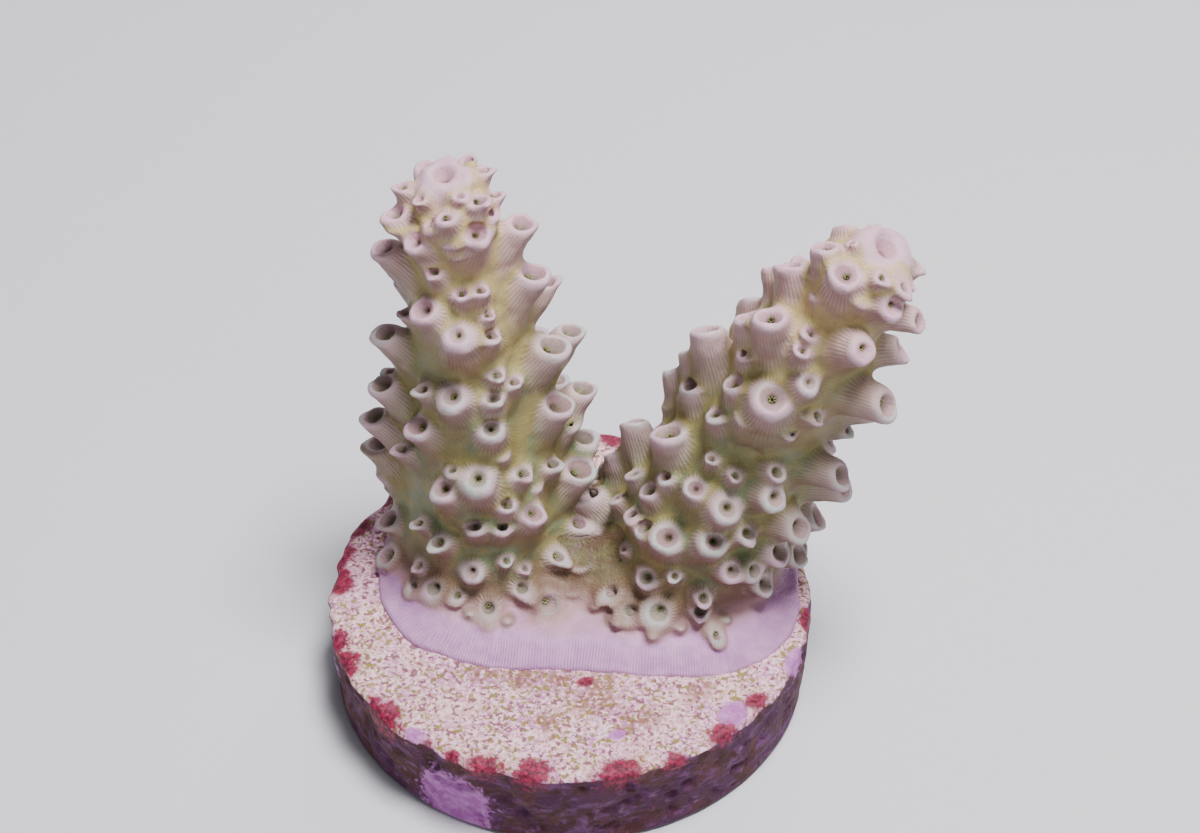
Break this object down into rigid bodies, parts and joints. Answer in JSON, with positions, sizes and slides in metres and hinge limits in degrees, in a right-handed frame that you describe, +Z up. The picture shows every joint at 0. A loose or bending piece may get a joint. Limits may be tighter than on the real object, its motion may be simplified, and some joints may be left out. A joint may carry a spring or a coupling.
{
  "type": "acropora coral on a frag plug",
  "caption": "Acropora coral with a spreading encrusting base and tapering branches covered in tubular corallites, grown over a round frag plug.",
  "frame": {"origin": "centre of the plug's flat underside", "axes": "+Z up, -Y toward the viewer of the picture, +X toward the side that the right branch leans to"},
  "size_m": [0.0294, 0.025, 0.0293],
  "materials": {
    "plug": "rough pale pink cement with olive specks, crimson crust on the rim and mauve crust on the side",
    "coral_base": "satin mauve-pink living coral tissue with fine grain",
    "coral_branch": "satin olive and pink-beige living coral tissue, finely ribbed, with pale lilac and mint rims"
  },
  "bodies": {
    "root": {"frag_plug": "plug", "encrusting_base": "coral_base", "left_branch": "coral_branch", "right_branch": "coral_branch"}
  },
  "joints": []
}
